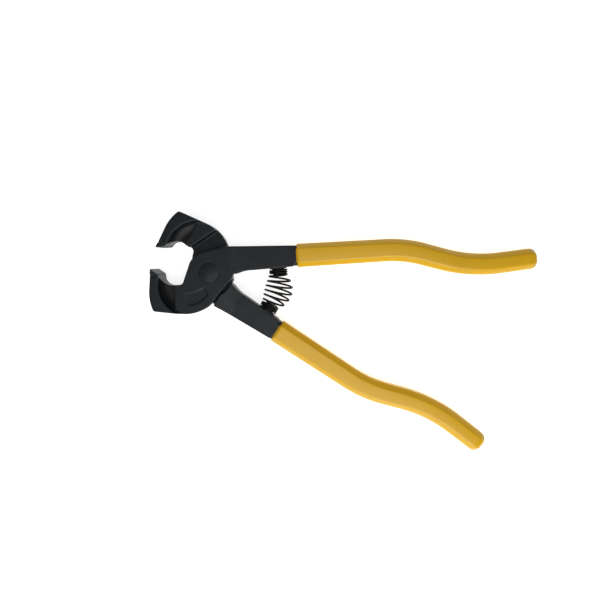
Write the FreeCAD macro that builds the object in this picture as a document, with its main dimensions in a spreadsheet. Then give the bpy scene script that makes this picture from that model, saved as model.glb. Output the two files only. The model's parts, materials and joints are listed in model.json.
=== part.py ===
import FreeCAD, Part
import math
import os
import Sketcher

# Tile nippers: two identical forged levers, one of them turned over, joined by a rivet.
# Each half is drawn closed, with the pivot at the origin, the jaw towards -X, -Y and the handle towards +X, +Y.
# Placements then open the halves to the rest angle and put the origin under the middle of the whole tool.

Vec = FreeCAD.Vector
doc = FreeCAD.newDocument("TileNippers")

DIMENSIONS = [
    ("jaw_width", 20.0),          # the jaw's full width along Z
    ("jaw_reach", 32.8),          # pivot to front face
    ("jaw_back", 25.1),           # closing plane to the farthest point of the jaw's back
    ("edge_gap", 0.15),           # cutting edge to the closing plane
    ("jaw_rim_radius", 0.8),
    ("scoop_radius", 19.5),
    ("scoop_floor", 5.0),         # height of the hollow's floor above the mid-plane
    ("hub_radius", 12.1),
    ("hub_thickness", 14.0),      # both halves of the joint together
    ("joint_gap", 0.1),           # between the mating faces of the two hubs
    ("sweep_radius", 14.2),       # the hub's farthest corner on the arm side
    ("sweep_clearance", 0.35),
    ("shoulder_distance", 18.0),  # pivot to the jaw's shoulder
    ("stop_distance", 12.6),      # pivot to the flat that stops the opening
    ("stop_angle", -34.9),
    ("opening", 22.0),            # angle between the halves at rest
    ("widest_opening", 27.9),     # the flats meet the arms here
    ("arm_thickness", 10.2),
    ("relief_depth", 0.3),
    ("rivet_radius", 4.5),
    ("rivet_head_radius", 5.9),
    ("rivet_sink", 1.4),          # depth of the cone under each rivet head
    ("rivet_dome", 0.45),
    ("running_gap", 0.05),
    ("carbide_thickness", 2.4),
    ("carbide_length", 5.1),
    ("carbide_slope", -30.6),
    ("braze_thickness", 0.2),
    ("peg_along", 39.9),          # pivot to peg along X
    ("peg_across", 5.5),
    ("arm_slope", 9.3),           # slope of the arm's inner edge
    ("peg_collar_radius", 5.0),
    ("peg_collar_height", 0.6),
    ("peg_height", 5.0),
    ("peg_root_radius", 3.8),
    ("peg_tip_radius", 3.3),
    ("peg_shank_radius", 2.5),
    ("peg_shank_length", 6.0),
    ("wire_radius", 0.6),
    ("spring_end_radius", 4.9),   # to the wire's centre
    ("spring_middle_radius", 7.9),
    ("spring_bow", 1.5),          # how far the middle coils stand outside the bend
    ("dead_turns", 2.0),
    ("active_turns", 6.0),
    ("grip_start", 50.0),
    ("core_end", 188.6),
    ("core_width", 11.9),         # where the grip starts
    ("core_end_width", 10.3),
    ("core_end_thickness", 9.2),
    ("core_corner", 2.8),
    ("vinyl", 0.9),               # thickness of the dipped coat
    ("vinyl_end", 2.4),           # vinyl beyond the end of the core
]

sheet = doc.addObject("Spreadsheet::Sheet", "Dimensions")
for row, (alias, number) in enumerate(DIMENSIONS, start=1):
    sheet.set(f"A{row}", alias)
    sheet.set(f"B{row}", str(number))
    sheet.setAlias(f"B{row}", alias)
doc.recompute()


def size(alias):
    """A driving dimension's value."""
    return float(sheet.get(alias))


def bind(feature, prop, expression):
    """Tie a property to the sheet: each word of the expression that is an alias becomes a cell of the sheet."""
    words = [f"Dimensions.{w}" if any(w == d[0] for d in DIMENSIONS) else w for w in expression.split()]
    feature.setExpression(prop, " ".join(words))


def polar(radius, degrees):
    """The point at a distance and a direction from the pivot."""
    return Vec(radius * math.cos(math.radians(degrees)), radius * math.sin(math.radians(degrees)), 0)


class Outline:
    """A chain of straight and round edges, in a sketch's own coordinates."""

    def __init__(self, x, y):
        self.start = Vec(x, y, 0)
        self.here = self.start
        self.edges = []

    def line(self, x, y):
        end = Vec(x, y, 0)
        self.edges.append(Part.LineSegment(self.here, end))
        self.here = end
        return self

    def arc(self, through, end):
        through = Vec(through[0], through[1], 0)
        end = Vec(end[0], end[1], 0)
        self.edges.append(Part.Arc(self.here, through, end))
        self.here = end
        return self

    def bend(self, way, radius, degrees):
        """A left-hand arc that sets off in a direction and turns through an angle."""
        heading = math.radians(way)
        centre = self.here + Vec(-math.sin(heading), math.cos(heading), 0) * radius
        middle = centre + polar(radius, way - 90 + degrees / 2)
        end = centre + polar(radius, way - 90 + degrees)
        return self.arc(middle, end)

    def close(self):
        return self.line(self.start.x, self.start.y)


def add_body(label):
    """A body with its label."""
    body = doc.addObject("PartDesign::Body", label)
    body.Label = label
    return body


def add_sketch(body, name, edges, role="XY_Plane", offset=None, held=True):
    """A sketch of joined edges on one of the body's own origin planes, moved by an offset in that plane's axes."""
    sketch = body.newObject("Sketcher::SketchObject", name)
    plane = next(f for f in body.Origin.OriginFeatures if f.Role == role)
    sketch.AttachmentSupport = [(plane, "")]
    sketch.MapMode = "FlatFace"
    if offset is not None:
        sketch.AttachmentOffset = offset
    sketch.addGeometry(edges, False)
    if held:
        for number in range(len(edges)):
            sketch.addConstraint(Sketcher.Constraint("Block", number))
    return sketch


def circle_sketch(body, name, radius_cell, offset):
    """A sketch of one circle at its own origin, with its radius tied to the sheet."""
    ring = Part.Circle(Vec(0, 0, 0), Vec(0, 0, 1), size(radius_cell))
    sketch = add_sketch(body, name, [ring], offset=offset, held=False)
    sketch.addConstraint(Sketcher.Constraint("Coincident", 0, 3, -1, 1))
    number = sketch.addConstraint(Sketcher.Constraint("Radius", 0, size(radius_cell)))
    sketch.renameConstraint(number, "radius")
    bind(sketch, "Constraints.radius", radius_cell)
    return sketch


def pad(body, name, sketch, length):
    """A pad to both sides of its sketch, with its length tied to the sheet."""
    feature = body.newObject("PartDesign::Pad", name)
    feature.Profile = sketch
    feature.Midplane = True
    bind(feature, "Length", length)
    return feature


def pocket(body, name, sketch, length, both_sides=False):
    """A pocket that must cut something."""
    doc.recompute()
    before = body.Shape.Volume
    feature = body.newObject("PartDesign::Pocket", name)
    feature.Profile = sketch
    feature.Midplane = both_sides
    bind(feature, "Length", length)
    doc.recompute()
    if not feature.Shape.Volume < before - 1e-3:
        raise RuntimeError(f"{name} cuts nothing from {body.Label}")
    return feature


def revolve(body, kind, name, sketch):
    """A full turn of a sketch about its own vertical axis."""
    feature = body.newObject(kind, name)
    feature.Profile = sketch
    feature.ReferenceAxis = (sketch, ["V_Axis"])
    feature.Angle = 360.0
    return feature


def mirror(body, name, originals):
    """The same features on the other side of the mid-plane."""
    feature = body.newObject("PartDesign::Mirrored", name)
    feature.Originals = originals
    plane = next(f for f in body.Origin.OriginFeatures if f.Role == "XY_Plane")
    feature.MirrorPlane = (plane, [""])
    body.Tip = feature
    doc.recompute()
    return feature


def fillet(body, name, radius, chosen):
    """Round the edges that a test picks. The radius is tied to the sheet."""
    doc.recompute()
    base = body.Tip
    names = [f"Edge{n}" for n, edge in enumerate(base.Shape.Edges, start=1) if chosen(edge)]
    feature = body.newObject("PartDesign::Fillet", name)
    feature.Base = (base, names)
    bind(feature, "Radius", radius)
    doc.recompute()
    return feature


# ---- shapes shared by both halves -------------------------------------------------------------------------

SCOOP_CENTRE = Vec(-8.7, -7.2, 0)
LAND_TOP = Vec(-19.2, -8.8, 0)       # where the land between scoop and hub meets the mouth
BACK_TURN = Vec(-13.5, -size("jaw_back"), 0)
STOP_FOOT = polar(size("stop_distance"), size("stop_angle"))
STOP_ALONG = polar(1, size("stop_angle") - 90)
CHIN = STOP_FOOT + STOP_ALONG * 11.4
KNEE_RADIUS = size("sweep_radius")
ARM_ROOT_Y = 0.3                     # keeps the closed arms apart
PEG = Vec(size("peg_along"), size("peg_across"), 0)
ARM_SLOPE = math.tan(math.radians(size("arm_slope")))


def arm_inner_y(x):
    """The arm's straight inner edge."""
    return PEG.y + (x - PEG.x) * ARM_SLOPE


def tip_point(along, deep):
    """A point of the carbide tip: along its cutting face from the edge, and deep below that face."""
    slope = size("carbide_slope")
    edge = Vec(-size("jaw_reach"), -size("edge_gap"), 0)
    return edge + polar(along, slope) + polar(deep, slope - 90)


def front_face_point(deep):
    """Where a line at a depth below the carbide's face meets the jaw's front face."""
    along = deep * math.tan(math.radians(-size("carbide_slope")))
    return tip_point(along, deep)


def jaw_front():
    """The front face, from the cutting edge down and round the outer corner to the back."""
    front = -size("jaw_reach")
    shape = Outline(front, -size("edge_gap"))
    shape.line(front, -12.5).bend(-90, 25.0, 24.0)
    corner = shape.here + polar(0.94, -66)
    shape.line(corner.x, corner.y).bend(-66, 1.8, 64.1)
    return shape


JAW_CORNER = jaw_front().here
LAND_FOOT = JAW_CORNER + (BACK_TURN - JAW_CORNER) * 0.74


def jaw_outline():
    """The jaw block, from the cutting edge round the front to the land and back along the mouth."""
    heel = tip_point(size("carbide_length"), 0)
    shape = jaw_front()
    shape.line(BACK_TURN.x, BACK_TURN.y)
    shape.line(LAND_TOP.x, LAND_TOP.y)
    shape.line(-21.6, -9.0)
    shape.arc((-26.0, -6.9), heel)
    shape.close()
    return shape.edges


def hub_outline():
    """The neck, hub and arm, from the land round the back and the stop flat, out along the arm and back."""
    knee = math.degrees(math.acos(size("stop_distance") / KNEE_RADIUS))
    knee_start = polar(KNEE_RADIUS, size("stop_angle") + knee)
    knee_end = Vec(math.sqrt(KNEE_RADIUS ** 2 - ARM_ROOT_Y ** 2), ARM_ROOT_Y, 0)
    knee_middle = polar(KNEE_RADIUS, (size("stop_angle") + knee) / 2)
    arm_end = size("grip_start") - 1.2
    shape = Outline(LAND_TOP.x, LAND_TOP.y)
    shape.line(LAND_FOOT.x, LAND_FOOT.y)
    shape.line(BACK_TURN.x, BACK_TURN.y)
    shape.arc((-5.6, -23.75), (1.2, -19.85))
    shape.arc((2.7, -18.2), CHIN)
    shape.line(knee_start.x, knee_start.y)
    shape.arc(knee_middle, knee_end)
    shape.line(15.9, ARM_ROOT_Y)
    shape.arc((19.4, 1.9), (25.0, arm_inner_y(25.0)))
    shape.line(arm_end, arm_inner_y(arm_end))
    shape.line(arm_end, handle_middle(arm_end) + size("core_width") / 2)
    shape.line(8.6, 15.8)
    hub_end = polar(size("hub_radius"), 108)
    shape.line(hub_end.x, hub_end.y)
    shape.arc(polar(size("hub_radius"), 130), polar(size("hub_radius"), 155))
    shape.line(-13.8, -5.2)
    shape.arc((-14.7, -7.5), (-16.8, -8.5))
    shape.close()
    return shape.edges


# The handle's middle line: three straight stretches joined by two wide bends.
HANDLE_CORNERS = [Vec(46.0, 12.9, 0), Vec(113.0, 21.6, 0), Vec(153.0, 14.1, 0), Vec(200.0, 23.9, 0)]
BEND_RADII = [72.0, 87.0]


def handle_middle(x):
    """The height of the handle's first straight stretch."""
    first, second = HANDLE_CORNERS[:2]
    return first.y + (x - first.x) * (second.y - first.y) / (second.x - first.x)


def handle_path(start_x, end_x):
    """The middle line between two positions along X, as straight lines and arcs."""
    edges = []
    here = Vec(start_x, handle_middle(start_x), 0)
    for corner, before, after, radius in zip(HANDLE_CORNERS[1:], HANDLE_CORNERS, HANDLE_CORNERS[2:], BEND_RADII):
        inward = (before - corner).normalize()
        outward = (after - corner).normalize()
        half_turn = (math.pi - inward.getAngle(outward)) / 2
        reach = radius * math.tan(half_turn)
        middle = (inward + outward).normalize() * (radius / math.cos(half_turn) - radius)
        edges.append(Part.LineSegment(here, corner + inward * reach))
        edges.append(Part.Arc(corner + inward * reach, corner + middle, corner + outward * reach))
        here = corner + outward * reach
    last = (HANDLE_CORNERS[3] - HANDLE_CORNERS[2]).normalize()
    edges.append(Part.LineSegment(here, here + last * ((end_x - here.x) / last.x)))
    return edges


def rounded_rectangle(width, height, corner):
    """A rectangle with round corners about the origin."""
    a = width / 2
    b = height / 2
    k = corner * (1 - math.sqrt(0.5))
    shape = Outline(a, -b + corner)
    shape.line(a, b - corner).arc((a - k, b - k), (a - corner, b))
    shape.line(-a + corner, b).arc((-a + k, b - k), (-a, b - corner))
    shape.line(-a, -b + corner).arc((-a + k, -b + k), (-a + corner, -b))
    shape.line(a - corner, -b).arc((a - k, -b + k), (a, -b + corner))
    return shape.edges


def across(point, direction):
    """A section's place: its X across the handle, its Y up and its normal along the path."""
    side = Vec(-direction.y, direction.x, 0)
    return FreeCAD.Placement(point, FreeCAD.Rotation(side, Vec(0, 0, 1), direction, "ZXY"))


def handle_pipe(body, kind, name, start_x, end_x, skin):
    """A pipe along the handle, from the wide section at the arm to the narrow one at the end."""
    path = handle_path(start_x, end_x)
    spine = add_sketch(body, name + "Path", path)
    first = path[0]
    last = path[-1]
    start_way = (first.EndPoint - first.StartPoint).normalize()
    end_way = (last.EndPoint - last.StartPoint).normalize()
    corner = size("core_corner") + skin
    wide = rounded_rectangle(size("core_width") + 2 * skin, size("arm_thickness") + 2 * skin, corner)
    slim = rounded_rectangle(size("core_end_width") + 2 * skin, size("core_end_thickness") + 2 * skin, corner)
    profile = add_sketch(body, name + "Start", wide, offset=across(first.StartPoint, start_way))
    section = add_sketch(body, name + "End", slim, offset=across(last.EndPoint, end_way))
    feature = body.newObject(kind, name)
    feature.Profile = profile
    feature.Spine = (spine, [])
    feature.Transformation = "Multisection"
    feature.Sections = [section]
    feature.Transition = "Transformed"
    doc.recompute()
    return feature


def joint_outline():
    """The space for the other hub: from the jaw's shoulder to the sweep of its corner and the stop on the arm."""
    shoulder_foot = polar(size("shoulder_distance"), -149.7)
    shoulder_along = polar(1, -59.7)
    sweep = size("sweep_radius") + size("sweep_clearance")
    stop_face = size("stop_distance") + size("joint_gap")
    stop_normal = size("widest_opening") + size("stop_angle")
    corner_angle = -stop_normal + math.degrees(math.acos(stop_face / sweep))
    corner = polar(sweep, corner_angle)
    outer = corner + polar(13, 90 - stop_normal)
    start = shoulder_foot - shoulder_along * 6
    end = shoulder_foot + shoulder_along * 22
    under_arm = ARM_ROOT_Y / 2
    shape = Outline(start.x, start.y)
    shape.line(end.x, end.y)
    shape.line(22, end.y)
    shape.line(22, under_arm)
    shape.line(math.sqrt(sweep ** 2 - under_arm ** 2), under_arm)
    shape.arc(polar(sweep, corner_angle / 2), corner)
    shape.line(outer.x, outer.y)
    shape.line(-22, outer.y)
    shape.line(-22, start.y)
    shape.close()
    return shape.edges


def seat_outline(deep):
    """The notch for the carbide and its braze, open at the cutting edge."""
    length = size("carbide_length")
    front = front_face_point(deep)
    shape = Outline(front.x - 3, front.y + 3 * math.tan(math.radians(-size("carbide_slope"))))
    for point in [tip_point(length, deep), tip_point(length, -1.5), tip_point(-4, -1.5)]:
        shape.line(point.x, point.y)
    shape.close()
    return shape.edges


def relief_outline():
    """A shallow fan between the rivet and the jaw's back."""
    shape = Outline(-12.5, -13.0)
    shape.line(-10.7, -19.9)
    shape.arc((-4.2, -17.9), (0.8, -12.1))
    shape.line(-2.1, -8.9)
    shape.arc((-7.3, -11.4), (-12.5, -13.0))
    return shape.edges


def add_lever(label, rivet_hole):
    """One forging: the scooped jaw, the neck and half hub, the arm and the core of the handle."""
    body = add_body(label)
    pad(body, "Jaw", add_sketch(body, "JawOutline", jaw_outline()), "jaw_width")

    rim = size("scoop_radius")
    floor = size("scoop_floor")
    top = size("jaw_width") / 2
    hollow = Outline(0, floor).line(-rim + 6.6, floor)
    hollow.arc((-rim + 1.7, floor + 1.7), (-rim, top)).line(-rim, top + 2).line(0, top + 2).close()
    place = FreeCAD.Placement(Vec(SCOOP_CENTRE.x, 0, -SCOOP_CENTRE.y), FreeCAD.Rotation())
    section = add_sketch(body, "ScoopSection", hollow.edges, role="XZ_Plane", offset=place)
    scoop = revolve(body, "PartDesign::Groove", "Scoop", section)
    mirror(body, "ScoopBelow", [scoop])

    pad(body, "HubAndArm", add_sketch(body, "HubOutline", hub_outline()), "hub_thickness")

    low = size("arm_thickness") / 2
    high = size("hub_thickness") / 2
    flank = Outline(12.5, high + 1).line(12.5, high).line(22.0, low).line(60.0, low).line(60.0, high + 1).close()
    slope = add_sketch(body, "ArmFlank", flank.edges, role="XZ_Plane")
    thinning = pocket(body, "ArmThinning", slope, "jaw_width * 4", both_sides=True)
    mirror(body, "ArmThinningBelow", [thinning])

    handle_pipe(body, "PartDesign::AdditivePipe", "Core", size("grip_start") - 2, size("core_end"), 0.0)

    face = FreeCAD.Placement(Vec(0, 0, size("joint_gap") / 2), FreeCAD.Rotation())
    space = add_sketch(body, "JointSpace", joint_outline(), offset=face)
    pocket(body, "JointHalf", space, "jaw_width")

    seat = add_sketch(body, "TipSeat", seat_outline(size("carbide_thickness") + size("braze_thickness")))
    pocket(body, "TipNotch", seat, "jaw_width * 2", both_sides=True)

    fan = add_sketch(body, "Relief", relief_outline(), offset=FreeCAD.Placement(Vec(0, 0, high), FreeCAD.Rotation()))
    pocket(body, "ReliefHollow", fan, "relief_depth")

    add_rivet_hole(body, rivet_hole)
    add_peg_hole(body)
    fillet(body, "JawRim", "jaw_rim_radius", is_jaw_rim)
    return body


def is_jaw_rim(edge):
    """Whether an edge runs round the outside of a jaw's flank, along the front face or the back."""
    middle = edge.CenterOfMass
    on_flank = abs(abs(middle.z) - size("jaw_width") / 2) < 1e-3
    return on_flank and (middle.x < -30.5 or middle.y < -23.5)


def add_rivet_hole(body, gap):
    """A hole with a cone for the rivet's head, larger than the rivet by a gap."""
    top = size("hub_thickness") / 2
    bottom = -1.0
    shank = size("rivet_radius") + gap
    head = size("rivet_head_radius") + gap
    sink = top - size("rivet_sink")
    hole = Outline(0, bottom).line(shank, bottom).line(shank, sink).line(head, top).line(head, top + 1)
    hole.line(0, top + 1).close()
    section = add_sketch(body, "RivetHoleSection", hole.edges, role="XZ_Plane")
    revolve(body, "PartDesign::Groove", "RivetHole", section)
    doc.recompute()


def peg_place():
    """The peg's base: its normal points out of the arm's inner edge."""
    inward = polar(1, size("arm_slope") - 90)
    along = polar(1, size("arm_slope"))
    return FreeCAD.Placement(PEG, FreeCAD.Rotation(along, inward.cross(along), inward, "ZXY"))


def add_peg_hole(body):
    """A blind hole in the arm's inner edge for the peg's shank."""
    pocket(body, "PegHole", circle_sketch(body, "PegHoleCircle", "peg_shank_radius", peg_place()), "peg_shank_length")


def add_rivet(label):
    """The rivet: two low heads on cones and a shank."""
    body = add_body(label)
    top = size("hub_thickness") / 2
    sink = top - size("rivet_sink")
    shank = size("rivet_radius")
    head = size("rivet_head_radius")
    rise = size("rivet_dome")
    ball = (head ** 2 + rise ** 2) / (2 * rise)
    shoulder = top + rise - ball + math.sqrt(ball ** 2 - (head / 2) ** 2)
    shape = Outline(0, -top - rise).arc((head / 2, -shoulder), (head, -top)).line(shank, -sink)
    shape.line(shank, sink).line(head, top).arc((head / 2, shoulder), (0, top + rise)).close()
    section = add_sketch(body, "Section", shape.edges, role="XZ_Plane")
    revolve(body, "PartDesign::Revolution", "Turned", section)
    return body


def add_carbide(label):
    """A hard tip, flush with the jaw's front face and inner face, with flanks level with the jaw's."""
    body = add_body(label)
    length = size("carbide_length")
    deep = size("carbide_thickness")
    front = front_face_point(deep)
    shape = Outline(-size("jaw_reach"), -size("edge_gap")).line(front.x, front.y)
    for point in [tip_point(length, deep), tip_point(length, 0)]:
        shape.line(point.x, point.y)
    shape.close()
    pad(body, "Tip", add_sketch(body, "TipOutline", shape.edges), "jaw_width")
    return body


def add_braze(label):
    """The thin filler layer between the tip and its seat."""
    body = add_body(label)
    length = size("carbide_length")
    upper = size("carbide_thickness")
    lower = upper + size("braze_thickness")
    start = front_face_point(upper)
    end = front_face_point(lower)
    shape = Outline(start.x, start.y).line(end.x, end.y)
    for point in [tip_point(length, lower), tip_point(length, upper)]:
        shape.line(point.x, point.y)
    shape.close()
    pad(body, "Filler", add_sketch(body, "FillerOutline", shape.edges), "jaw_width")
    return body


def add_peg(label):
    """A spring peg: a shank in the arm, a thin collar and a tapered nose with a rounded tip."""
    body = add_body(label)
    root = size("peg_root_radius")
    tip = size("peg_tip_radius")
    top = size("peg_height")
    collar = size("peg_collar_radius")
    lip = size("peg_collar_height")
    shank = size("peg_shank_radius")
    shape = Outline(0, -size("peg_shank_length")).line(shank, -size("peg_shank_length")).line(shank, 0)
    shape.line(collar, 0).line(collar, lip).line(root, lip).line(tip, top - 1)
    shape.arc((tip - 0.3, top - 0.3), (tip - 1, top)).line(0, top).close()
    turn = FreeCAD.Placement(Vec(0, 0, 0), FreeCAD.Rotation(Vec(1, 0, 0), 90))
    section = add_sketch(body, "Section", shape.edges, offset=peg_place() * turn)
    revolve(body, "PartDesign::Revolution", "Turned", section)
    return body


def add_grip(label):
    """The dipped coat: the handle's shape one skin larger, closed round the end, over the core."""
    body = add_body(label)
    skin = size("vinyl")
    end = size("core_end") + size("vinyl_end")
    handle_pipe(body, "PartDesign::AdditivePipe", "Coat", size("grip_start"), end, skin)
    limit = size("core_end") + 1
    fillet(body, "RoundEnd", "core_corner * 1.2", lambda edge: edge.CenterOfMass.x > limit and is_end(edge))
    handle_pipe(body, "PartDesign::SubtractivePipe", "Inside", size("grip_start") - 2, size("core_end"), 0.0)
    return body


def is_end(edge):
    """Whether an edge lies across the handle and not along it."""
    return edge.Length < 2 * size("core_width")


def add_spring():
    """The return spring: a barrel of wire round an arc about the pivot, close-wound on the pegs."""
    half = math.radians(size("opening") / 2 + size("arm_slope"))
    open_peg = polar(PEG.Length, math.degrees(math.atan2(PEG.y, PEG.x)) + size("opening") / 2)
    bend = open_peg.y / math.sin(half)
    centre_x = open_peg.x - bend * math.cos(half)
    wire = size("wire_radius")
    dead = size("dead_turns")
    turns = 2 * dead + size("active_turns")
    margin = (size("peg_collar_height") + wire + 0.05) / bend
    dead_angle = dead * 2.04 * wire / bend
    steps = 12
    points = []
    for n in range(int(turns * steps) + 1):
        turn = n / steps
        angle = half - margin - spring_angle(turn, turns, dead, dead_angle, 2 * (half - margin))
        middle = min(max((turn - dead) / (turns - 2 * dead), 0), 1)
        swell = math.sin(math.pi * middle)
        radius = size("spring_end_radius") + (size("spring_middle_radius") - size("spring_end_radius")) * swell
        away = bend + size("spring_bow") * swell
        outward = Vec(math.cos(angle), math.sin(angle), 0)
        phase = 2 * math.pi * turn
        centre = Vec(centre_x, 0, 0) + outward * away
        points.append(centre + outward * (radius * math.cos(phase)) + Vec(0, 0, radius * math.sin(phase)))
    curve = Part.BSplineCurve()
    curve.interpolate(Points=points)
    path = Part.Wire([curve.toShape()])
    way = curve.tangent(curve.FirstParameter)[0]
    ring = Part.Wire([Part.Circle(points[0], way, wire).toShape()])
    spring = doc.addObject("Part::Feature", "return_spring")
    spring.Label = "return_spring"
    spring.Shape = path.makePipeShell([ring], True, True)
    return spring


def spring_angle(turn, turns, dead, dead_angle, whole):
    """How far round the bend the wire has gone: tight turns at both ends, even ones between."""
    if turn <= dead:
        return dead_angle * turn / dead
    if turn >= turns - dead:
        return whole - dead_angle * (turns - turn) / dead
    return dead_angle + (whole - 2 * dead_angle) * (turn - dead) / (turns - 2 * dead)


# ---- the assembly -----------------------------------------------------------------------------------------

front = [
    add_lever("front_lever", 0.0),
    add_rivet("pivot_rivet"),
    add_carbide("front_jaw_carbide"),
    add_braze("front_jaw_braze"),
    add_peg("front_spring_peg"),
    add_grip("front_grip"),
]
rear = [
    add_lever("rear_lever", size("running_gap")),
    add_carbide("rear_jaw_carbide"),
    add_braze("rear_jaw_braze"),
    add_peg("rear_spring_peg"),
    add_grip("rear_grip"),
]
middle = [add_spring()]
doc.recompute()

half_opening = size("opening") / 2
opened = FreeCAD.Placement(Vec(0, 0, 0), FreeCAD.Rotation(Vec(0, 0, 1), half_opening))
turned_over = FreeCAD.Placement(Vec(0, 0, 0), FreeCAD.Rotation(Vec(1, 0, 0), 180))
at_pivot = [(piece, opened) for piece in front]
at_pivot += [(piece, turned_over * opened) for piece in rear]
at_pivot += [(piece, FreeCAD.Placement()) for piece in middle]

box = FreeCAD.BoundBox()
for piece, place in at_pivot:
    piece.Placement = place
    box.add(piece.Shape.optimalBoundingBox(False, False))
shift = FreeCAD.Placement(Vec(-box.Center.x, -box.Center.y, -box.ZMin), FreeCAD.Rotation())
for piece, place in at_pivot:
    piece.Placement = shift * place
doc.recompute()

print("pivot at", [round(c, 3) for c in shift.Base])
print("size", [round(c, 2) for c in (box.XLength, box.YLength, box.ZLength)])

for thing in doc.Objects:
    if "Invalid" in thing.State or "Error" in thing.State:
        raise RuntimeError(f"{thing.Name} has failed")

os.makedirs("parts", exist_ok=True)
for piece, place in at_pivot:
    shape = piece.Shape
    if shape.isNull() or not shape.isValid():
        raise RuntimeError(f"{piece.Label} has no valid shape")
    shape.exportStep(f"parts/{piece.Label}.step")
    print(piece.Label, "solids", len(shape.Solids), "volume", round(shape.Volume, 1))
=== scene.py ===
import json
import logging
import math
from dataclasses import dataclass, field
from enum import Enum
from typing import Any, Sequence

import bmesh
import bpy
from mathutils import Matrix, Vector


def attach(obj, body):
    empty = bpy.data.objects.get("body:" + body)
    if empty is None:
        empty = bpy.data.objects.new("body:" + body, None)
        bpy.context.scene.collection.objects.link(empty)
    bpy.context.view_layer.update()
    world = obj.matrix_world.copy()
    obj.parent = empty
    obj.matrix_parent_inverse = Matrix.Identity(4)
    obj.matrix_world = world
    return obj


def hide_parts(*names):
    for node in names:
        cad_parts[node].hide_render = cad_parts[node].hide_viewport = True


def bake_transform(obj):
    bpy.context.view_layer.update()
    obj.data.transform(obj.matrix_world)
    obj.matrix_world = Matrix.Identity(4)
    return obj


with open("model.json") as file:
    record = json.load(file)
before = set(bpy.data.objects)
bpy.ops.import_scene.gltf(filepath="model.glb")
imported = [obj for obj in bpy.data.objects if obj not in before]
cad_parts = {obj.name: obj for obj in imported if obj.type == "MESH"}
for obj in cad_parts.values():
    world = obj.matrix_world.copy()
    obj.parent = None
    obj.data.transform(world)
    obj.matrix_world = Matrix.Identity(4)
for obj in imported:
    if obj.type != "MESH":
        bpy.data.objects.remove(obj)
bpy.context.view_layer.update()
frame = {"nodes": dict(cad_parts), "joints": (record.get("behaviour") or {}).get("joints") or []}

# Tile nippers: the look of each piece, around the CAD frame. Lengths are in millimetres until a mesh is
# written, and MM turns them into the scene's metres. A half is drawn closed, with the pivot at the origin.

log = logging.getLogger("tile_nippers")

MM = 0.001
JOINT = frame["joints"][0]
PIVOT = Vector(JOINT["pos_m"])
OPENING = 11.0              # degrees that each half stands open at rest


class Half(Enum):
    """The two halves of the tool, by the prefix of their nodes."""

    FRONT = "front"
    REAR = "rear"

    @property
    def body(self) -> str:
        """The CAD body that this half's pieces ride on."""
        return f"{self.value}_half"

    def place(self) -> Matrix:
        """The half's own closed frame in the scene, in metres.

        Returns:
            A matrix that opens the half and moves it to the pivot. The rear half is turned over first.
        """
        opened = Matrix.Rotation(math.radians(OPENING), 4, "Z")
        turned = Matrix.Rotation(math.pi if self is Half.REAR else 0.0, 4, "X")
        return Matrix.Translation(PIVOT) @ turned @ opened @ Matrix.Scale(MM, 4)


# ---- nodes and finishes -----------------------------------------------------------------------------------


def linear(code: str) -> tuple[float, float, float, float]:
    """Turn an sRGB hex colour into linear values.

    Args:
        code: six hex digits after a hash sign.

    Returns:
        Red, green, blue and an alpha of 1.
    """
    parts = [int(code[i:i + 2], 16) / 255 for i in (1, 3, 5)]
    red, green, blue = [c / 12.92 if c <= 0.04045 else ((c + 0.055) / 1.055) ** 2.4 for c in parts]
    return red, green, blue, 1.0


def add_node(
    tree: bpy.types.NodeTree,
    kind: str,
    settings: dict[str, Any] | None = None,
    inputs: dict[int | str, Any] | None = None,
) -> bpy.types.Node:
    """Add a node, set its properties and fill or link its inputs.

    Args:
        tree: the node tree to add to.
        kind: the node's type name.
        settings: property names and values of the node.
        inputs: input sockets, by name or number, with a value or the output socket that feeds each.

    Returns:
        The new node.
    """
    node = tree.nodes.new(kind)
    for name, value in (settings or {}).items():
        setattr(node, name, value)
    for name, value in (inputs or {}).items():
        if isinstance(value, bpy.types.NodeSocket):
            tree.links.new(value, node.inputs[name])
        else:
            node.inputs[name].default_value = value
    return node


def set_ramp(node: bpy.types.Node, stops: Sequence[tuple[float, str]]) -> None:
    """Give a colour ramp its stops.

    Args:
        node: a ColorRamp node with its two first stops.
        stops: position and sRGB hex colour of each stop, in order.
    """
    elements = node.color_ramp.elements
    while len(elements) < len(stops):
        elements.new(1.0)
    for element, (position, code) in zip(elements, stops):
        element.position = position
        element.color = linear(code)


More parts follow.
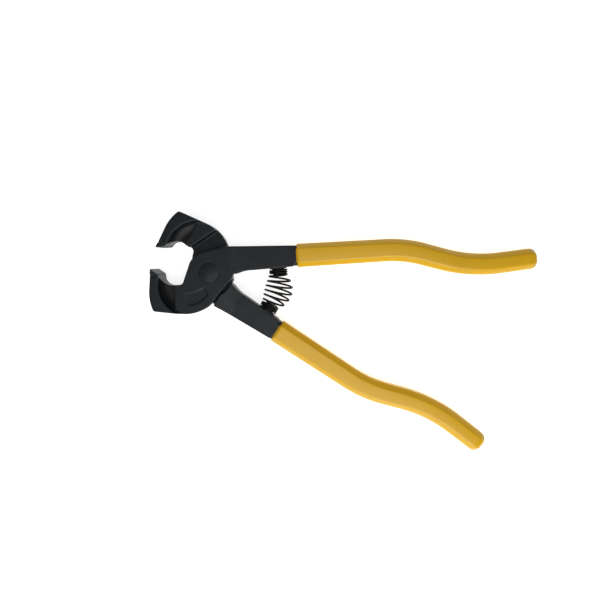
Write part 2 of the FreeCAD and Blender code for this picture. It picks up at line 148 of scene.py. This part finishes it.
@dataclass(frozen=True)
class Finish:
    """A surface with fine grain and slow variation, dark to light.

    Sizes are the real ones in millimetres. A pattern finer than about 0.3 mm is drawn at that size, so that
    it shows.
    """

    name: str
    dark: str
    light: str
    roughness: tuple[float, float]
    cloud_mm: float
    grain_mm: float
    grain_depth_mm: float
    wave_mm: float
    wave_depth_mm: float
    metallic: float = 0.0
    ior: float = 1.5
    subsurface: float = 0.0
    worn: str | None = None         # the rubbed colour along exposed edges
    painted_scoop_shade: str | None = None       # painted shade: a darker colour laid into the jaw's scoops

    def build(self) -> bpy.types.Material:
        """Make the material.

        Returns:
            A material whose colour, roughness and bump read Object coordinates in metres.
        """
        material = bpy.data.materials.new(self.name)
        material.use_nodes = True
        tree = material.node_tree
        shader = tree.nodes["Principled BSDF"]
        shader.inputs["Metallic"].default_value = self.metallic
        if not self.metallic:
            shader.inputs["IOR"].default_value = self.ior
        if self.subsurface:
            shader.inputs["Subsurface Weight"].default_value = self.subsurface
            shader.inputs["Subsurface Scale"].default_value = MM
        place = add_node(tree, "ShaderNodeTexCoord").outputs["Object"]
        cloud = self.pattern(tree, place, self.cloud_mm, 4.0)
        colour = add_node(tree, "ShaderNodeValToRGB", inputs={"Fac": cloud})
        set_ramp(colour, [(0.3, self.dark), (0.7, self.light)])
        shade = colour.outputs["Color"]
        # Painted shade: the jaw's scoops get a darker colour, laid in where the mesh marks them.
        if self.painted_scoop_shade:
            shade = self.paint_scoop_shade(tree, shade)
        if self.worn:
            shade = self.worn_edges(tree, shade, place)
        tree.links.new(shade, shader.inputs["Base Color"])
        low, high = self.roughness
        fine = self.pattern(tree, place, self.cloud_mm / 3, 6.0)
        gloss = add_node(
            tree, "ShaderNodeMapRange",
            inputs={"Value": fine, "From Min": 0.3, "From Max": 0.7, "To Min": low, "To Max": high},
        )
        tree.links.new(gloss.outputs["Result"], shader.inputs["Roughness"])
        wave = add_node(
            tree, "ShaderNodeBump", inputs={
                "Height": self.pattern(tree, place, self.wave_mm, 2.0),
                "Distance": self.wave_depth_mm * MM, "Strength": 1.0,
            },
        )
        grain = add_node(
            tree, "ShaderNodeBump", inputs={
                "Height": self.pattern(tree, place, self.grain_mm, 3.0),
                "Distance": self.grain_depth_mm * MM, "Strength": 1.0, "Normal": wave.outputs["Normal"],
            },
        )
        tree.links.new(grain.outputs["Normal"], shader.inputs["Normal"])
        return material

    def pattern(
        self, tree: bpy.types.NodeTree, place: bpy.types.NodeSocket, size_mm: float, detail: float
    ) -> bpy.types.NodeSocket:
        """Add noise whose blobs are about a real size.

        Args:
            tree: the material's node tree.
            place: the coordinates to read.
            size_mm: the size of one blob.
            detail: octaves of finer noise.

        Returns:
            The noise's value, about 0.5 in the middle.
        """
        inputs = {"Vector": place, "Scale": 1 / (size_mm * MM), "Detail": detail, "Roughness": 0.55}
        return add_node(tree, "ShaderNodeTexNoise", inputs=inputs).outputs["Fac"]

    def worn_edges(
        self, tree: bpy.types.NodeTree, shade: bpy.types.NodeSocket, place: bpy.types.NodeSocket
    ) -> bpy.types.NodeSocket:
        """Mix the rubbed colour in along the edges that the mesh marks as exposed.

        Args:
            tree: the material's node tree.
            shade: the unworn colour.
            place: the coordinates to read.

        Returns:
            The mixed colour.
        """
        edge = add_node(tree, "ShaderNodeAttribute", {"attribute_name": "edge"}).outputs["Fac"]
        patch = self.pattern(tree, place, 1.6, 5.0)
        rub = add_node(tree, "ShaderNodeMath", {"operation": "MULTIPLY"}, {0: edge, 1: patch})
        mask = add_node(
            tree, "ShaderNodeMapRange",
            inputs={
                "Value": rub.outputs[0], "From Min": 0.25, "From Max": 0.62, "To Min": 0.0, "To Max": 0.6,
            },
        )
        mix = add_node(
            tree, "ShaderNodeMix", {"data_type": "RGBA"},
            {0: mask.outputs["Result"], 6: shade, 7: linear(self.worn)},
        )
        return mix.outputs[2]

    def paint_scoop_shade(self, tree: bpy.types.NodeTree, shade: bpy.types.NodeSocket) -> bpy.types.NodeSocket:
        """Paint shade into the colour: darken it in the jaw's scoops that the mesh marks.

        Args:
            tree: the material's node tree.
            shade: the colour on the flats.

        Returns:
            The mixed colour.
        """
        shade_mask = add_node(tree, "ShaderNodeAttribute", {"attribute_name": "painted_scoop_shade"}).outputs["Fac"]
        mix = add_node(
            tree, "ShaderNodeMix", {"data_type": "RGBA"}, {0: shade_mask, 6: shade, 7: linear(self.painted_scoop_shade)}
        )
        return mix.outputs[2]


# Stoving enamel over a drop-forged, shot-blasted body: satin black with a blue cast and a soft pebbled sheen.
# Its last colour is painted shade: a darker colour laid into the jaw's scoops.
FORGED_ENAMEL = Finish(
    "satin_black_enamel_on_forging", "#13181d", "#1a2026", (0.38, 0.50),
    cloud_mm=14.0, grain_mm=0.45, grain_depth_mm=0.02, wave_mm=5.0, wave_depth_mm=0.10, ior=1.38,
    worn="#4a4e52", painted_scoop_shade="#07090b",
)
# Sintered tungsten carbide, ground and then dulled by tile dust: mid grey, gritty, slightly metallic.
GROUND_CARBIDE = Finish(
    "ground_tungsten_carbide", "#323436", "#46484a", (0.42, 0.6),
    cloud_mm=3.0, grain_mm=0.35, grain_depth_mm=0.03, wave_mm=2.0, wave_depth_mm=0.03, metallic=1.0,
)
# Silver solder darkened by the paint oven: a thin dull bronze line.
OVEN_DULLED_BRAZE = Finish(
    "dulled_silver_braze", "#3d382c", "#5a5140", (0.4, 0.55),
    cloud_mm=2.0, grain_mm=0.4, grain_depth_mm=0.02, wave_mm=1.5, wave_depth_mm=0.03, metallic=1.0,
)
# The same enamel on the rivet's turned head, a little smoother than the forging.
ENAMELLED_RIVET = Finish(
    "satin_black_enamel_on_rivet", "#13181d", "#1a2026", (0.34, 0.44),
    cloud_mm=8.0, grain_mm=0.5, grain_depth_mm=0.012, wave_mm=4.0, wave_depth_mm=0.05, ior=1.38,
)
# Turned steel blackened in an oxide bath: near black, with an oily sheen.
BLACK_OXIDE_PEG = Finish(
    "black_oxide_turned_steel", "#0a0c0e", "#131518", (0.45, 0.58),
    cloud_mm=5.0, grain_mm=0.35, grain_depth_mm=0.015, wave_mm=2.0, wave_depth_mm=0.02, ior=1.38,
)
# Drawn spring wire with a black phosphate coat: dark, with a tight highlight along each coil.
PHOSPHATED_WIRE = Finish(
    "phosphated_spring_wire", "#08090b", "#101214", (0.5, 0.62),
    cloud_mm=4.0, grain_mm=0.3, grain_depth_mm=0.01, wave_mm=1.5, wave_depth_mm=0.01, ior=1.3,
)
# Plastisol vinyl, dipped and oven-cured: warm yellow, soft gloss, slightly wavy where it ran, and a little
# translucent.
DIPPED_VINYL = Finish(
    "dipped_yellow_vinyl", "#f0b90f", "#f5c016", (0.26, 0.36),
    cloud_mm=22.0, grain_mm=0.6, grain_depth_mm=0.012, wave_mm=9.0, wave_depth_mm=0.12, ior=1.5,
    subsurface=0.05,
)


# ---- meshes -----------------------------------------------------------------------------------------------


def new_object(name: str, mesh: bpy.types.Mesh, material: bpy.types.Material) -> bpy.types.Object:
    """Link a finished mesh to the scene as one piece.

    Args:
        name: the piece's name.
        mesh: its mesh, in metres and in place.
        material: its only material.

    Returns:
        The new object, at the origin.
    """
    mesh.materials.clear()
    mesh.materials.append(material)
    piece = bpy.data.objects.new(name, mesh)
    bpy.context.scene.collection.objects.link(piece)
    return piece


def baked(piece: bpy.types.Object) -> bpy.types.Mesh:
    """Read an object's mesh with its modifiers applied.

    Args:
        piece: an object in the scene.

    Returns:
        A new mesh.
    """
    bpy.context.view_layer.update()
    graph = bpy.context.evaluated_depsgraph_get()
    return bpy.data.meshes.new_from_object(piece.evaluated_get(graph))


def smooth(mesh: bpy.types.Mesh) -> None:
    """Shade every face smooth."""
    mesh.polygons.foreach_set("use_smooth", [True] * len(mesh.polygons))
    mesh.update()


def skin_rings(rings: Sequence[Sequence[Vector]], name: str, place: Matrix) -> bpy.types.Mesh:
    """Skin a row of closed rings and close both ends.

    Args:
        rings: rings with the same number of points, each anticlockwise as seen from the last ring.
        name: the mesh's name.
        place: the matrix from the rings' frame to the scene.

    Returns:
        A closed mesh with outward faces.
    """
    build = bmesh.new()
    rows = [[build.verts.new(place @ point) for point in ring] for ring in rings]
    count = len(rows[0])
    for low, high in zip(rows, rows[1:]):
        for n in range(count):
            m = (n + 1) % count
            build.faces.new((low[n], low[m], high[m], high[n]))
    build.faces.new(list(reversed(rows[0])))
    build.faces.new(rows[-1])
    bmesh.ops.recalc_face_normals(build, faces=build.faces[:])
    mesh = bpy.data.meshes.new(name)
    build.to_mesh(mesh)
    build.free()
    smooth(mesh)
    return mesh


# ---- the forged levers ------------------------------------------------------------------------------------


@dataclass
class ForgedLever:
    """One forging, from its CAD node: the same shape with the soft edges of a forged and enamelled piece."""

    half: Half
    voxel: float = 0.32
    smoothing_rounds: int = 6
    core_start: float = 54.0        # past here the lever is inside the grip, and is kept coarse
    core_share: float = 0.06
    flank_height: float = 10.0
    land_x: float = -17.8           # the jaw's scoops lie on the far side of this line
    sharp_radius: float = 1.1       # an edge at least this sharp counts as fully exposed

    def build(self, material: bpy.types.Material) -> bpy.types.Object:
        """Make the lever and let it stand for its CAD node.

        Args:
            material: the enamel.

        Returns:
            The piece, riding on its half.
        """
        node = f"{self.half.value}_lever"
        piece = new_object(f"{node}_forging", self.softened(frame["nodes"][node]), material)
        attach(piece, self.half.body)
        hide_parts(node)
        return piece

    def softened(self, node: bpy.types.Object) -> bpy.types.Mesh:
        """Round every edge of the node's shape a little.

        Args:
            node: the lever's CAD node.

        Returns:
            A closed mesh with an "edge" attribute that is high on exposed edges.
        """
        work = new_object("lever_work", self.merged(node.data), node.data.materials[0])
        remesh = work.modifiers.new("Skin", "REMESH")
        remesh.mode = "VOXEL"
        remesh.voxel_size = self.voxel * MM
        relax = work.modifiers.new("Relax", "SMOOTH")
        relax.factor = 0.5
        relax.iterations = self.smoothing_rounds
        mesh = baked(work)
        bpy.data.objects.remove(work)
        mesh = self.thinned(mesh)
        self.mark_edges(mesh)
        # Painted shade: mark the scoops that get a darker colour.
        self.mark_painted_scoop_shade(mesh)
        smooth(mesh)
        return mesh

    def merged(self, source: bpy.types.Mesh) -> bpy.types.Mesh:
        """Copy loose triangles into one joined mesh."""
        build = bmesh.new()
        build.from_mesh(source)
        bmesh.ops.remove_doubles(build, verts=build.verts[:], dist=1e-6)
        mesh = bpy.data.meshes.new("merged")
        build.to_mesh(mesh)
        build.free()
        return mesh

    def thinned(self, mesh: bpy.types.Mesh) -> bpy.types.Mesh:
        """Coarsen the core, which the grip hides.

        Args:
            mesh: the fine mesh.

        Returns:
            A mesh with fewer faces inside the grip.
        """
        work = new_object("core_work", mesh, bpy.data.materials[0])
        group = work.vertex_groups.new(name="core")
        back = self.half.place().inverted()
        hidden = [v.index for v in mesh.vertices if (back @ v.co).x > self.core_start]
        group.add(hidden, 1.0, "REPLACE")
        share = len(hidden) / len(mesh.vertices)
        thin = work.modifiers.new("Thin", "DECIMATE")
        thin.vertex_group = "core"
        thin.ratio = 1 - share * (1 - self.core_share)
        result = baked(work)
        bpy.data.objects.remove(work)
        return result

    def mark_edges(self, mesh: bpy.types.Mesh) -> None:
        """Store how exposed each vertex is: 1 on a convex edge, 0 on flats and in hollows.

        Args:
            mesh: the mesh that gets the "edge" attribute.
        """
        total = [0.0] * len(mesh.vertices)
        count = [0] * len(mesh.vertices)
        normals = [v.normal.copy() for v in mesh.vertices]
        for edge in mesh.edges:
            a, b = edge.vertices
            span = mesh.vertices[b].co - mesh.vertices[a].co
            bend = (normals[b] - normals[a]).dot(span) / max(span.length_squared, 1e-12)
            for n in (a, b):
                total[n] += bend
                count[n] += 1
        sharpest = 1 / (self.sharp_radius * MM)
        values = [min(max(t / max(c, 1) / sharpest, 0.0), 1.0) for t, c in zip(total, count)]
        attribute = mesh.attributes.new("edge", "FLOAT", "POINT")
        attribute.data.foreach_set("value", values)

    def mark_painted_scoop_shade(self, mesh: bpy.types.Mesh) -> None:
        """Mark where painted shade darkens the jaw's scoops, by how deep each vertex lies: 0 on the flanks, 1
        on the scoop's floor.

        Args:
            mesh: the mesh that gets the painted-shade attribute.
        """
        back = self.half.place().inverted()
        values = []
        for vertex in mesh.vertices:
            spot = back @ vertex.co
            in_jaw = min(max((self.land_x - spot.x) / 1.5, 0.0), 1.0)
            depth = min(max((self.flank_height - 0.6 - abs(spot.z)) / 2.2, 0.0), 1.0)
            level = min(max(abs(vertex.normal.z) * 2.5 - 0.25, 0.0), 1.0)
            values.append(in_jaw * depth * level)
        attribute = mesh.attributes.new("painted_scoop_shade", "FLOAT", "POINT")
        attribute.data.foreach_set("value", values)


# ---- the dipped grips -------------------------------------------------------------------------------------


@dataclass
class DippedGrip:
    """One dipped handle coat: an eight-sided section with soft corners that melts into a rounder one."""

    half: Half
    corners: tuple[tuple[float, float], ...] = ((46.0, 12.9), (113.0, 21.6), (153.0, 14.1), (200.0, 23.9))
    bends: tuple[float, float] = (72.0, 87.0)
    start: float = 50.0
    end: float = 191.0
    width: tuple[float, float] = (13.7, 12.1)
    thickness: tuple[float, float] = (12.0, 11.0)
    chamfer: tuple[float, float] = (2.9, 3.1)
    softness: tuple[float, float] = (0.8, 1.9)
    lip: float = 1.1
    wall: float = 0.95
    dome: float = 4.6
    step: float = 1.0
    corner_points: int = 5
    lip_rings: int = 7
    dome_rings: int = 9

    def build(self, material: bpy.types.Material) -> bpy.types.Object:
        """Make the coat and let it stand for its CAD node.

        Args:
            material: the vinyl.

        Returns:
            The piece, riding on its half.
        """
        node = f"{self.half.value}_grip"
        mesh = skin_rings(self.rings(), node, self.half.place())
        piece = new_object(f"{node}_dipped", mesh, material)
        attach(piece, self.half.body)
        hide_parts(node)
        return piece

    def path(self) -> list[tuple[Vector, Vector]]:
        """The middle line as even points with directions: straight stretches joined by arcs."""
        knots = [Vector((x, y, 0)) for x, y in self.corners]
        first = (knots[1] - knots[0]).normalized()
        here = knots[0] + first * ((self.start - knots[0].x) / first.x)
        points: list[tuple[Vector, Vector]] = []
        for before, knot, after, radius in zip(knots, knots[1:], knots[2:], self.bends):
            way = (knot - before).normalized()
            onward = (after - knot).normalized()
            turn = way.angle(onward) * (1 if way.cross(onward).z > 0 else -1)
            reach = radius * math.tan(abs(turn) / 2)
            points += self.straight(here, knot - way * reach, way)
            points += self.round(knot - way * reach, way, radius, turn)
            here = knot + onward * reach
        way = (knots[3] - knots[2]).normalized()
        points += self.straight(here, here + way * ((self.end - here.x) / way.x), way)
        points.append((here + way * ((self.end - here.x) / way.x), way))
        return points

    def straight(self, start: Vector, end: Vector, way: Vector) -> list[tuple[Vector, Vector]]:
        """Even points from start towards end, without the end."""
        count = max(int((end - start).length / self.step), 1)
        return [(start.lerp(end, n / count), way) for n in range(count)]

    def round(self, start: Vector, way: Vector, radius: float, turn: float) -> list[tuple[Vector, Vector]]:
        """Even points round an arc that starts along a direction, without its end."""
        side = Vector((-way.y, way.x, 0)) * (1 if turn > 0 else -1)
        centre = start + side * radius
        count = max(int(abs(turn) * radius / self.step), 1)
        points = []
        for n in range(count):
            spin = Matrix.Rotation(turn * n / count, 3, "Z")
            points.append((centre + spin @ (start - centre), spin @ way))
        return points

    def section(self, at: float, shrink: float) -> list[tuple[float, float]]:
        """The section at a share of the length, drawn in by a shrink on every side.

        Args:
            at: 0 at the arm, 1 at the end.
            shrink: how far every side moves in, in millimetres.

        Returns:
            Points across and up, anticlockwise.
        """
        melt = min(at * 1.6, 1.0)
        a = (self.width[0] + (self.width[1] - self.width[0]) * at) / 2 - shrink
        b = (self.thickness[0] + (self.thickness[1] - self.thickness[0]) * at) / 2 - shrink
        cut = max(self.chamfer[0] + (self.chamfer[1] - self.chamfer[0]) * at - shrink * 0.586, 0.02)
        soft = self.softness[0] + (self.softness[1] - self.softness[0]) * melt
        eighth = math.tan(math.pi / 8)
        soft = min(soft, 0.95 * cut / eighth / math.sqrt(2), 0.9 * (b - cut) / eighth)
        octagon = [(a, -b + cut), (a, b - cut), (a - cut, b), (-a + cut, b)]
        octagon += [(-x, -y) for x, y in octagon]
        return soft_corners(octagon, max(soft, 0.01), self.corner_points)

    def rings(self) -> list[list[Vector]]:
        """Every ring of the coat: the rolled lip at the arm, the coat and the domed end."""
        path = self.path()
        length = len(path) - 1
        rings = []
        point, way = path[0]
        for turn in range(self.lip_rings):
            angle = math.pi / 2 * turn / (self.lip_rings - 1)
            shrink = self.wall * math.cos(angle)
            rings.append(self.ring(point, way, 0.0, shrink, self.lip * (1 - math.cos(angle))))
        for n, (point, way) in enumerate(path):
            left = self.end - point.x
            if n < 2 or left < self.dome:
                continue
            rings.append(self.ring(point, way, n / length, 0.0, 0.0))
        point, way = path[-1]
        for turn in range(1, self.dome_rings + 1):
            angle = math.pi / 2 * turn / self.dome_rings
            shrink = self.dome * 0.98 * (1 - math.cos(angle))
            rings.append(self.ring(point, way, 1.0, shrink, self.dome * (math.sin(angle) - 1)))
        return rings

    def ring(self, point: Vector, way: Vector, at: float, shrink: float, along: float) -> list[Vector]:
        """One ring of the section, placed across the path.

        Args:
            point: the path's point.
            way: the path's direction.
            at: share of the length.
            shrink: how far the section is drawn in.
            along: how far the ring moves along the path.

        Returns:
            The ring's points in the half's frame.
        """
        side = Vector((-way.y, way.x, 0))
        middle = point + way * along
        return [middle + side * x + Vector((0, 0, y)) for x, y in self.section(at, shrink)]


def soft_corners(
    corners: Sequence[tuple[float, float]], radius: float, count: int
) -> list[tuple[float, float]]:
    """Round every corner of a convex outline with an arc.

    Args:
        corners: the corners, anticlockwise.
        radius: the arcs' radius.
        count: points on each arc.

    Returns:
        The rounded outline's points.
    """
    points = []
    total = len(corners)
    for n, corner in enumerate(corners):
        here = Vector(corner)
        before = (Vector(corners[n - 1]) - here).normalized()
        after = (Vector(corners[(n + 1) % total]) - here).normalized()
        half = before.angle(after) / 2
        inward = (before + after).normalized()
        centre = here + inward * (radius / math.sin(half))
        entry = here + before * (radius / math.tan(half)) - centre
        sweep = math.pi - 2 * half
        start = math.atan2(entry.y, entry.x)
        for step in range(count):
            angle = start + sweep * step / (count - 1)
            points.append((centre.x + radius * math.cos(angle), centre.y + radius * math.sin(angle)))
    return points


# ---- the return spring ------------------------------------------------------------------------------------


@dataclass
class ReturnSpring:
    """A barrel of wire between the pegs, bent round an arc and made by Geometry Nodes."""

    wire: float = 0.6
    end_radius: float = 4.9
    middle_radius: float = 7.9
    bow: float = 1.5
    dead_turns: float = 2.0
    active_turns: float = 6.0
    peg: tuple[float, float] = (39.9, 5.5)
    arm_slope: float = 9.3
    collar: float = 0.6
    collar_gap: float = 0.05
    close_pitch: float = 2.04       # pitch of the close-wound end turns, in wire radii
    pin_share: float = 1.75         # how far from the middle plane the ends are held, in peg offsets
    steps: int = 48
    sides: int = 14

    def build(self, material: bpy.types.Material) -> bpy.types.Object:
        """Make the spring as it stands when the tool is open.

        Args:
            material: the wire's finish.

        Returns:
            The piece, fixed in the scene.
        """
        carrier = new_object("spring_carrier", bpy.data.meshes.new("spring_carrier"), material)
        modifier = carrier.modifiers.new("Coil", "NODES")
        modifier.node_group = self.tree()
        items = modifier.node_group.interface.items_tree
        sockets = {item.name: item.identifier for item in items if item.in_out == "INPUT"}
        for name, value in self.sizes().items():
            modifier[sockets[name]] = value
        modifier[sockets["Material"]] = material
        mesh = baked(carrier)
        carrier.modifiers.clear()
        bpy.data.objects.remove(carrier)
        mesh.transform(Matrix.Translation(PIVOT) @ Matrix.Scale(MM, 4))
        smooth(mesh)
        piece = new_object("return_spring_coil", mesh, material)
        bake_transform(piece)
        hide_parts("return_spring")
        return piece

    def sizes(self) -> dict[str, float]:
        """The tree's inputs, worked out from the pegs' places when the tool is open."""
        half_angle = math.radians(OPENING + self.arm_slope)
        base = math.atan2(self.peg[1], self.peg[0]) + math.radians(OPENING)
        reach = math.hypot(*self.peg)
        bend = reach * math.sin(base) / math.sin(half_angle)
        margin = (self.collar + self.wire + self.collar_gap) / bend
        return {
            "Wire Radius": self.wire,
            "End Radius": self.end_radius,
            "Middle Radius": self.middle_radius,
            "Bend Radius": bend,
            "Bow": self.bow,
            "Bend Centre X": reach * math.cos(base) - bend * math.cos(half_angle),
            "First Angle": half_angle - margin,
            "Dead Turns": self.dead_turns,
            "Active Turns": self.active_turns,
            "Dead Angle": self.dead_turns * self.close_pitch * self.wire / bend,
        }

    def tree(self) -> bpy.types.NodeTree:
        """Build the coil's node tree.

        Returns:
            A Geometry Nodes tree with an input for each size.
        """
        tree = bpy.data.node_groups.new("barrel_spring", "GeometryNodeTree")
        for name in self.sizes():
            tree.interface.new_socket(name, in_out="INPUT", socket_type="NodeSocketFloat")
        tree.interface.new_socket("Material", in_out="INPUT", socket_type="NodeSocketMaterial")
        tree.interface.new_socket("Geometry", in_out="OUTPUT", socket_type="NodeSocketGeometry")
        given = add_node(tree, "NodeGroupInput").outputs

        def maths(operation: str, *values: Any) -> bpy.types.NodeSocket:
            """Add one sum, with values or sockets as its terms."""
            node = add_node(tree, "ShaderNodeMath", {"operation": operation}, dict(enumerate(values)))
            return node.outputs[0]

        def share(start: Any, length: Any) -> bpy.types.NodeSocket:
            """How far the wire is through a stretch of turns, from 0 to 1."""
            node = add_node(
                tree, "ShaderNodeMath", {"operation": "DIVIDE", "use_clamp": True},
                {0: maths("SUBTRACT", turn, start), 1: length},
            )
            return node.outputs[0]

        total = 2 * self.dead_turns + self.active_turns
        line = add_node(tree, "GeometryNodeMeshLine", inputs={"Count": int(total * self.steps) + 1})
        index = add_node(tree, "GeometryNodeInputIndex").outputs[0]
        turn = maths("DIVIDE", index, float(self.steps))
        dead = given["Dead Turns"]
        active = given["Active Turns"]
        first = share(0.0, dead)
        middle = share(dead, active)
        last = share(maths("ADD", dead, active), dead)
        whole = maths("MULTIPLY", given["First Angle"], 2.0)
        open_part = maths("SUBTRACT", whole, maths("MULTIPLY", given["Dead Angle"], 2.0))
        gone = maths("MULTIPLY", maths("ADD", first, last), given["Dead Angle"])
        gone = maths("ADD", gone, maths("MULTIPLY", middle, open_part))
        angle = maths("SUBTRACT", given["First Angle"], gone)
        arch = maths("MAXIMUM", maths("SINE", maths("MULTIPLY", middle, math.pi)), 0.0)
        growth = maths("SUBTRACT", given["Middle Radius"], given["End Radius"])
        radius = maths("ADD", given["End Radius"], maths("MULTIPLY", arch, growth))
        phase = maths("MULTIPLY", turn, 2 * math.pi)
        away = maths("ADD", given["Bend Radius"], maths("MULTIPLY", given["Bow"], arch))
        out = maths("ADD", away, maths("MULTIPLY", radius, maths("COSINE", phase)))
        position = add_node(tree, "ShaderNodeCombineXYZ", inputs={
            "X": maths("ADD", given["Bend Centre X"], maths("MULTIPLY", out, maths("COSINE", angle))),
            "Y": maths("MULTIPLY", out, maths("SINE", angle)),
            "Z": maths("MULTIPLY", radius, maths("SINE", phase)),
        })
        wound = add_node(tree, "GeometryNodeSetPosition", inputs={
            "Geometry": line.outputs[0], "Position": position.outputs[0],
        })
        curve = add_node(tree, "GeometryNodeMeshToCurve", inputs={"Mesh": wound.outputs[0]})
        section = add_node(tree, "GeometryNodeCurvePrimitiveCircle", inputs={
            "Resolution": self.sides, "Radius": given["Wire Radius"],
        })
        tube = add_node(tree, "GeometryNodeCurveToMesh", inputs={
            "Curve": curve.outputs[0], "Profile Curve": section.outputs[0], "Fill Caps": True,
        })
        real = add_node(tree, "GeometryNodeRealizeInstances", inputs={0: tube.outputs[0]})
        dressed = add_node(tree, "GeometryNodeSetMaterial", inputs={
            "Geometry": real.outputs[0], "Material": given["Material"],
        })
        add_node(tree, "NodeGroupOutput", inputs={0: dressed.outputs[0]})
        return tree


# ---- pieces that keep their CAD shape ---------------------------------------------------------------------


def dress(node: str, material: bpy.types.Material) -> None:
    """Give a CAD node its finish.

    Args:
        node: the node's name.
        material: its finish.
    """
    mesh = frame["nodes"][node].data
    mesh.materials.clear()
    mesh.materials.append(material)


# ---- the studio -------------------------------------------------------------------------------------------


@dataclass
class Studio:
    """A white table, two soft lights and the camera almost straight above."""

    floor_size: float = 8000.0
    table_glow: float = 0.80
    camera_height: float = 312.0
    middle: tuple[float, float] = (55.5, -2.0)      # from the pivot to the point the camera looks at
    roll: float = 15.0
    tilt: float = 3.8                               # degrees that the camera leans towards the front grip
    lens: float = 31.6
    room_light: float = 0.18

    def build(self) -> None:
        """Make the floor, the lights and the camera."""
        self.make_floor()
        self.make_lights()
        self.make_camera()
        bpy.context.scene.view_settings.view_transform = "Standard"

    def make_floor(self) -> None:
        """Lay the pale table under the tool."""
        build = bmesh.new()
        bmesh.ops.create_grid(build, x_segments=1, y_segments=1, size=self.floor_size * MM / 2)
        mesh = bpy.data.meshes.new("table")
        build.to_mesh(mesh)
        build.free()
        material = bpy.data.materials.new("white_table")
        material.use_nodes = True
        shader = material.node_tree.nodes["Principled BSDF"]
        shader.inputs["Base Color"].default_value = linear("#f4f4f4")
        shader.inputs["Roughness"].default_value = 0.9
        shader.inputs["Specular IOR Level"].default_value = 0.0
        shader.inputs["Emission Color"].default_value = linear("#ffffff")
        shader.inputs["Emission Strength"].default_value = self.table_glow
        new_object("table", mesh, material)

    def make_lights(self) -> None:
        """Hang the soft lights and set the room's even light."""
        right, up = self.camera_axes()
        self.area("overhead", up * -170 + right * 20 + Vector((0, 0, 620)), 420, 1.0)
        self.area("side", up * -560 + right * 60 + Vector((0, 0, 430)), 420, 2.2)
        world = bpy.data.worlds.new("room")
        world.use_nodes = True
        world.node_tree.nodes["Background"].inputs["Color"].default_value = linear("#ffffff")
        world.node_tree.nodes["Background"].inputs["Strength"].default_value = self.room_light
        bpy.context.scene.world = world

    def area(self, name: str, offset: Vector, size: float, watts: float) -> None:
        """Hang one square light that faces the tool.

        Args:
            name: the light's name.
            offset: its place from the point under the camera, in millimetres.
            size: its side, in millimetres.
            watts: its power.
        """
        lamp = bpy.data.lights.new(name, "AREA")
        lamp.size = size * MM
        lamp.energy = watts
        light = bpy.data.objects.new(name, lamp)
        target = self.target()
        light.location = target + offset * MM
        light.rotation_euler = (target - light.location).to_track_quat("-Z", "Y").to_euler()
        bpy.context.scene.collection.objects.link(light)

    def target(self) -> Vector:
        """The point of the tool's middle plane that the camera looks at, in metres."""
        return PIVOT + Vector((self.middle[0], self.middle[1], 0)) * MM

    def camera_axes(self) -> tuple[Vector, Vector]:
        """The picture's right and up directions."""
        turn = math.radians(self.roll)
        right = Vector((math.cos(turn), math.sin(turn), 0))
        return right, Vector((-right.y, right.x, 0))

    def make_camera(self) -> None:
        """Set the camera almost straight above, turned so that the tool points down to the right."""
        data = bpy.data.cameras.new("camera")
        data.lens = self.lens
        data.sensor_width = 36.0
        data.clip_start = 0.01
        data.clip_end = 20.0
        camera = bpy.data.objects.new("camera", data)
        right, up = self.camera_axes()
        lean = math.radians(self.tilt)
        back = up * math.sin(lean) + Vector((0, 0, math.cos(lean)))
        turn = Matrix((right, back.cross(right), back)).transposed().to_4x4()
        camera.matrix_world = Matrix.Translation(self.target() + back * self.camera_height * MM) @ turn
        bpy.context.scene.collection.objects.link(camera)
        bpy.context.scene.camera = camera


@dataclass
class TileNippers:
    """The whole tool, built half by half."""

    finishes: dict[str, bpy.types.Material] = field(default_factory=dict)

    def build(self) -> None:
        """Build every piece and report each one."""
        enamel = FORGED_ENAMEL.build()
        vinyl = DIPPED_VINYL.build()
        carbide = GROUND_CARBIDE.build()
        braze = OVEN_DULLED_BRAZE.build()
        peg = BLACK_OXIDE_PEG.build()
        for half in Half:
            report(ForgedLever(half).build(enamel))
            report(DippedGrip(half).build(vinyl))
            dress(f"{half.value}_jaw_carbide", carbide)
            dress(f"{half.value}_jaw_braze", braze)
            dress(f"{half.value}_spring_peg", peg)
        dress("pivot_rivet", ENAMELLED_RIVET.build())
        report(ReturnSpring().build(PHOSPHATED_WIRE.build()))


def report(piece: bpy.types.Object) -> None:
    """Log a piece's name and size."""
    span = [round(float(d) / MM, 1) for d in piece.dimensions]
    log.info("%s: %d faces, %s mm", piece.name, len(piece.data.polygons), span)


def main() -> None:
    """Build the tool and the studio."""
    logging.basicConfig(level=logging.INFO, format="%(message)s")
    TileNippers().build()
    Studio().build()


if __name__ == "__main__":
    main()
